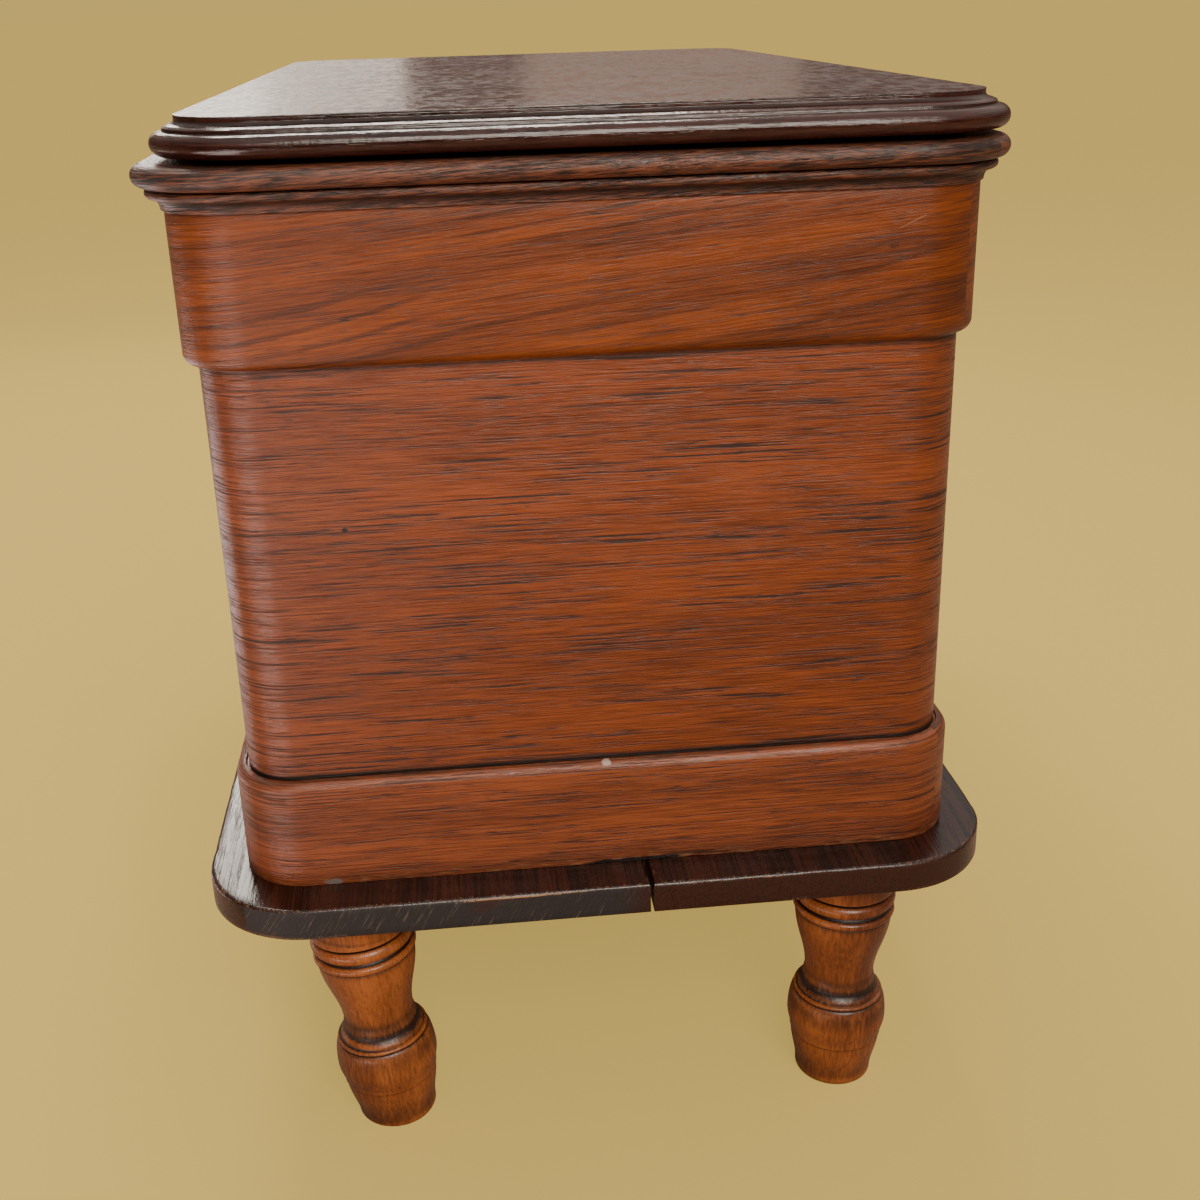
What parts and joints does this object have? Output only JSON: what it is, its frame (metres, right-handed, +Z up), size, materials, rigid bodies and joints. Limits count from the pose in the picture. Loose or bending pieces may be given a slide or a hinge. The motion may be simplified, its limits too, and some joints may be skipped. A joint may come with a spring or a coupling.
{
  "type": "sewing table",
  "caption": "Low lidded sewing table: veneered case with round corners on a plank base and turned legs, moulded hinged lid with a folding stay, sliding till over a deep well.",
  "frame": {"origin": "on the floor under the middle of the base board", "axes": "+Z up; +Y along the case, away from the short end that is seen; +X across the case towards the hinged side"},
  "size_m": [0.494, 0.892, 0.6346],
  "materials": {
    "lid_mahogany": "dark red-brown mahogany, French polished",
    "cornice_wood": "mid brown moulding, waxed, dark in the grooves",
    "frieze_veneer": "orange-brown crown-cut veneer, satin polish",
    "panel_veneer": "red-brown quarter-cut veneer with dark pores, satin polish",
    "plinth_veneer": "red-brown veneer with fine pores, satin polish",
    "base_board_wood": "dark polished board with sawn end grain",
    "leg_wood": "orange-brown stained turning, dark in the grooves",
    "carcass_wood": "plain secondary wood, planed",
    "batten_wood": "plain secondary wood, planed",
    "till_wood": "light mahogany, waxed",
    "hinge_brass": "aged brass",
    "screw_brass": "aged brass",
    "screw_iron": "dull iron",
    "stay_brass": "aged brass",
    "pad_felt": "green felt"
  },
  "bodies": {
    "carcass": {"base_board_left": "base_board_wood", "base_board_right": "base_board_wood", "base_batten_near": "batten_wood", "base_batten_far": "batten_wood", "base_batten_screws": "screw_iron", "leg_near_left": "leg_wood", "leg_near_right": "leg_wood", "leg_far_left": "leg_wood", "leg_far_right": "leg_wood", "leg_dowels": "batten_wood", "plinth_near": "plinth_veneer", "plinth_far": "plinth_veneer", "plinth_left": "plinth_veneer", "plinth_right": "plinth_veneer", "frieze_near": "frieze_veneer", "frieze_far": "frieze_veneer", "frieze_left": "frieze_veneer", "frieze_right": "frieze_veneer", "cornice_near": "cornice_wood", "cornice_far": "cornice_wood", "cornice_left": "cornice_wood", "cornice_right": "cornice_wood", "end_panel_near": "carcass_wood", "end_panel_far": "carcass_wood", "side_panel_left": "carcass_wood", "side_panel_right": "carcass_wood", "corner_post_near_left": "carcass_wood", "corner_post_near_right": "carcass_wood", "corner_post_far_left": "carcass_wood", "corner_post_far_right": "carcass_wood", "panel_veneer": "panel_veneer", "floor_panel": "carcass_wood", "runner_left": "carcass_wood", "runner_right": "carcass_wood", "hinge_case_leaves": "hinge_brass", "hinge_pins": "hinge_brass", "case_screws": "screw_brass", "stay_wall_bracket": "stay_brass", "lid_rest_pads": "pad_felt"},
    "lid": {"lid_panel": "lid_mahogany", "lid_edge_near": "lid_mahogany", "lid_edge_far": "lid_mahogany", "lid_edge_left": "lid_mahogany", "lid_edge_right": "lid_mahogany", "lid_batten_near": "batten_wood", "lid_batten_far": "batten_wood", "lid_batten_screws": "screw_iron", "hinge_lid_leaves": "hinge_brass", "lid_screws": "screw_brass", "stay_lid_bracket": "stay_brass"},
    "stay_lower": {"stay_lower_arm": "stay_brass", "stay_elbow_rivet": "stay_brass"},
    "stay_upper": {"stay_upper_arm": "stay_brass"},
    "till": {"till_bottom": "till_wood", "till_end_near": "till_wood", "till_end_far": "till_wood", "till_side_left": "till_wood", "till_side_right": "till_wood", "till_long_divider": "till_wood", "till_cross_dividers": "till_wood"}
  },
  "joints": [
    {"name": "lid_hinge", "type": "hinge", "parent": "carcass", "child": "lid", "pos_m": [0.2435, 0, 0.6125], "axis": [0, 1, 0], "range_deg": [0, 100]},
    {"name": "stay_wall_pivot", "type": "hinge", "parent": "carcass", "child": "stay_lower", "pos_m": [0.182, 0.36165, 0.5525], "axis": [0, 1, 0], "range_deg": [0, 100]},
    {"name": "stay_lid_pivot", "type": "hinge", "parent": "lid", "child": "stay_upper", "pos_m": [0.1535, 0.36455, 0.606], "axis": [0, 1, 0], "range_deg": [-100, 0]},
    {"name": "till_slide", "type": "slide", "parent": "carcass", "child": "till", "axis": [0, 1, 0], "range_m": [0, 0.338]}
  ],
  "couplings": [
    {"joint": "stay_wall_pivot", "follows": "lid_hinge", "ratio": 1},
    {"joint": "stay_lid_pivot", "follows": "lid_hinge", "ratio": -1}
  ]
}
